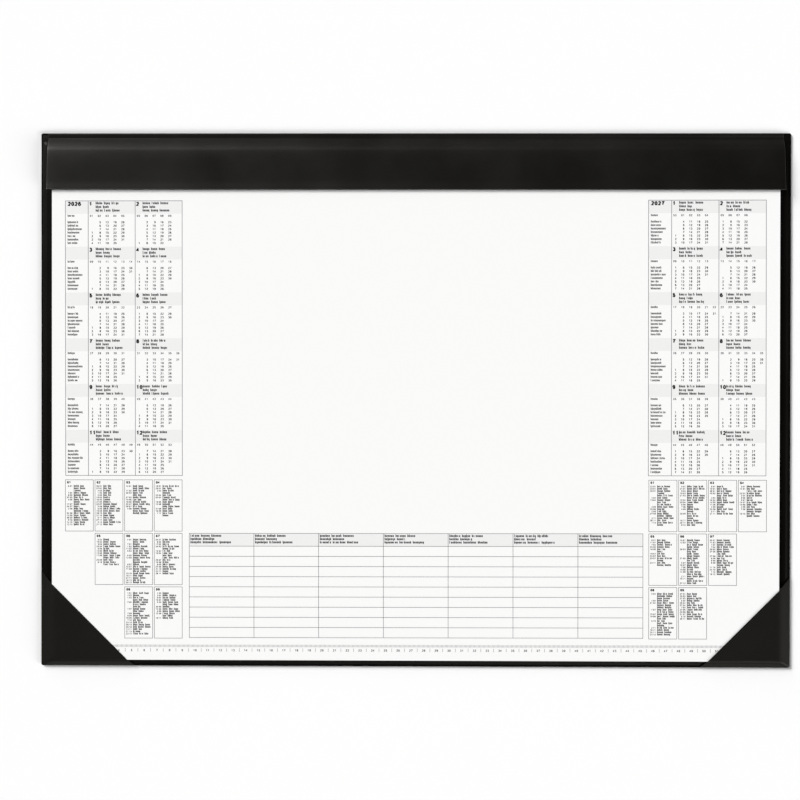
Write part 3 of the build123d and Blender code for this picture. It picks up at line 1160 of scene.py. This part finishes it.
def arc(middle, radii, start, end, steps):
    # Points on an ellipse between two angles in degrees
    angles = [math.radians(start + (end - start) * i / steps) for i in range(steps + 1)]
    return [(middle[0] + radii[0] * math.cos(a), middle[1] + radii[1] * math.sin(a))
            for a in angles]


def loop(middle, radii, steps):
    points = arc(middle, radii, 0, 360, steps)[:-1]
    return points + points[:1]


six = [loop((0.5, 0.31), (0.5, 0.31), 10), arc((0.5, 0.5), (0.5, 0.5), 40, 175, 6) + [(0.0, 0.31)]]
digitStrokes = (
    [loop((0.5, 0.5), (0.5, 0.5), 12)],
    [[(0.06, 0.76), (0.56, 0.98), (0.56, 0.0)]],
    [arc((0.5, 0.72), (0.48, 0.28), 165, -38, 7) + [(0.03, 0.0), (1.0, 0.0)]],
    [arc((0.46, 0.76), (0.44, 0.24), 155, -90, 7), arc((0.48, 0.27), (0.52, 0.27), 90, -155, 7)],
    [[(0.74, 0.0), (0.74, 1.0)], [(0.70, 0.98), (0.0, 0.28), (1.0, 0.28)]],
    [[(0.92, 1.0), (0.16, 1.0), (0.09, 0.5)] + arc((0.48, 0.32), (0.52, 0.32), 130, -155, 8)],
    six,
    [[(0.0, 1.0), (1.0, 1.0), (0.62, 0.55), (0.36, 0.0)]],
    [loop((0.5, 0.76), (0.42, 0.24), 9), loop((0.5, 0.27), (0.5, 0.27), 10)],
    [[(1 - x, 1 - y) for x, y in stroke] for stroke in six],
)


def strokeBody(body, points, width, height):
    # A flat stroke of even width along the points, closed all round
    looped = points[0] == points[-1]
    line = [Vector(p) for p in (points[:-1] if looped else points)]
    count = len(line)
    rows = []
    for i, place in enumerate(line):
        before = (place - line[i - 1]).normalized() if looped or i > 0 else None
        after = (line[(i + 1) % count] - place).normalized() if looped or i < count - 1 else None
        along = ((before or after) + (after or before)).normalized()
        across = Vector((-along.y, along.x))
        spread = 0.5 * width / max(digitLook["mitre"], along.dot(before or after))
        rows.append([body.verts.new((*(place + across * side * spread), z))
                     for side, z in ((1, 0), (-1, 0), (-1, height), (1, height))])
    for i in range(count if looped else count - 1):
        a, b = rows[i], rows[(i + 1) % count]
        for k in range(4):
            body.faces.new((a[k], a[(k + 1) % 4], b[(k + 1) % 4], b[k]))
    if not looped:
        body.faces.new(reversed(rows[0]))
        body.faces.new(rows[-1])


def digitShapes(name, width, weight):
    # Ten plain digits one unit high, drawn as strokes; the weight is the width of a stroke
    shapes = bpy.data.collections.new(name)
    for value, strokeList in enumerate(digitStrokes):
        body = bmesh.new()
        for layer, points in enumerate(strokeList):
            placed = [((u - 0.5) * (width - weight), weight / 2 + v * (1 - weight))
                      for u, v in points]
            strokeBody(body, placed, weight, 1.0 - digitLook["layerStep"] * layer)
        bmesh.ops.recalc_face_normals(body, faces=body.faces)
        mesh = bpy.data.meshes.new(f"{name}_{value}")
        body.to_mesh(mesh)
        body.free()
        shapes.objects.link(bpy.data.objects.new(f"{name}_{value}", mesh))
    return shapes


barNodes = barTree()
for group, (ink, share) in barInks.items():
    places, sizes = zip(*bars[group])
    obj = pointCloud("print_" + group, places, {"barSize": ("FLOAT_VECTOR", "vector", sizes)})
    growPrint(obj, barNodes, {"Ink Height": share * inkHeight * mm, "Ink": inks[ink]})

digitNodes = digitTree()
digitSets = {style: digitShapes(style + "_digit", *widths)
             for style, widths in digitLook["styles"].items()}
for group, (style, ink) in digitInks.items():
    places, sizes, values = zip(*digits[group])
    obj = pointCloud("print_" + group, places, {"digitSize": ("FLOAT_VECTOR", "vector", sizes),
                                                "digit": ("INT", "value", values)})
    growPrint(obj, digitNodes, {"Digits": digitSets[style], "Ink": inks[ink]})
for shapes in digitSets.values():
    for shape in list(shapes.objects):
        bpy.data.objects.remove(shape)
    bpy.data.collections.remove(shapes)
print("print made")


# Stage: pale floor, soft studio light, camera

floorSize = 40.0  # metres
lampDistance = 2.0
skyLevel = 0.004


def buildFloor():
    paint = {"Base Color": toLinear("#FCFCFC"), "Roughness": 0.9, "Specular IOR Level": 0.1}
    material = startMaterial("matt_backdrop_paper", paint)[0]
    h = floorSize / 2
    corners = [(-h, -h, 0), (h, -h, 0), (h, h, 0), (-h, h, 0)]
    floor = meshObject("studio_floor", corners, [(0, 1, 2, 3)], material)


lamps = {
    # name: (azimuth of the light's source, its elevation, strength, apparent size), degrees
    "back_left_softbox": (140, 38, 3.26, 28),
    "low_right_softbox": (330, 22, 1.54, 28),
    "front_softbox": (285, 38, 0.68, 28),
    "low_back_softbox": (122, 20, 0.56, 28),
}


def addLamp(name, azimuth, elevation, strength, size):
    lamp = bpy.data.lights.new(name, "SUN")
    lamp.energy = strength
    lamp.angle = math.radians(size)
    obj = bpy.data.objects.new(name, lamp)
    scene.collection.objects.link(obj)
    a, e = math.radians(azimuth), math.radians(elevation)
    source = Vector((math.cos(e) * math.cos(a), math.cos(e) * math.sin(a), math.sin(e)))
    obj.rotation_euler = source.to_track_quat("Z", "Y").to_euler()
    obj.location = source * lampDistance


def buildSky():
    # The studio round the softboxes is dark, so that the foil stays black
    world = bpy.data.worlds.new("dark_studio")
    world.use_nodes = True
    scene.world = world
    background = world.node_tree.nodes["Background"]
    background.inputs["Color"].default_value = (skyLevel, skyLevel, skyLevel, 1.0)


cameraView = {
    "place": (0.00820, 0.01239, 1.50070),
    "turn": (-0.00816, 0.01334, 0.00156),  # radians, nearly straight down
    "lens": 85.63,
    "sensor": 36.0,
    "clip": (0.05, 100.0),
}


def buildCamera(view):
    data = bpy.data.cameras.new("camera")
    data.lens = view["lens"]
    data.sensor_width = view["sensor"]
    data.clip_start, data.clip_end = view["clip"]
    camera = bpy.data.objects.new("camera", data)
    camera.location = view["place"]
    camera.rotation_euler = view["turn"]
    scene.collection.objects.link(camera)
    scene.camera = camera


buildFloor()
for name, settings in lamps.items():
    addLamp(name, *settings)
buildSky()
buildCamera(cameraView)
scene.view_settings.view_transform = "Standard"
print("stage made")
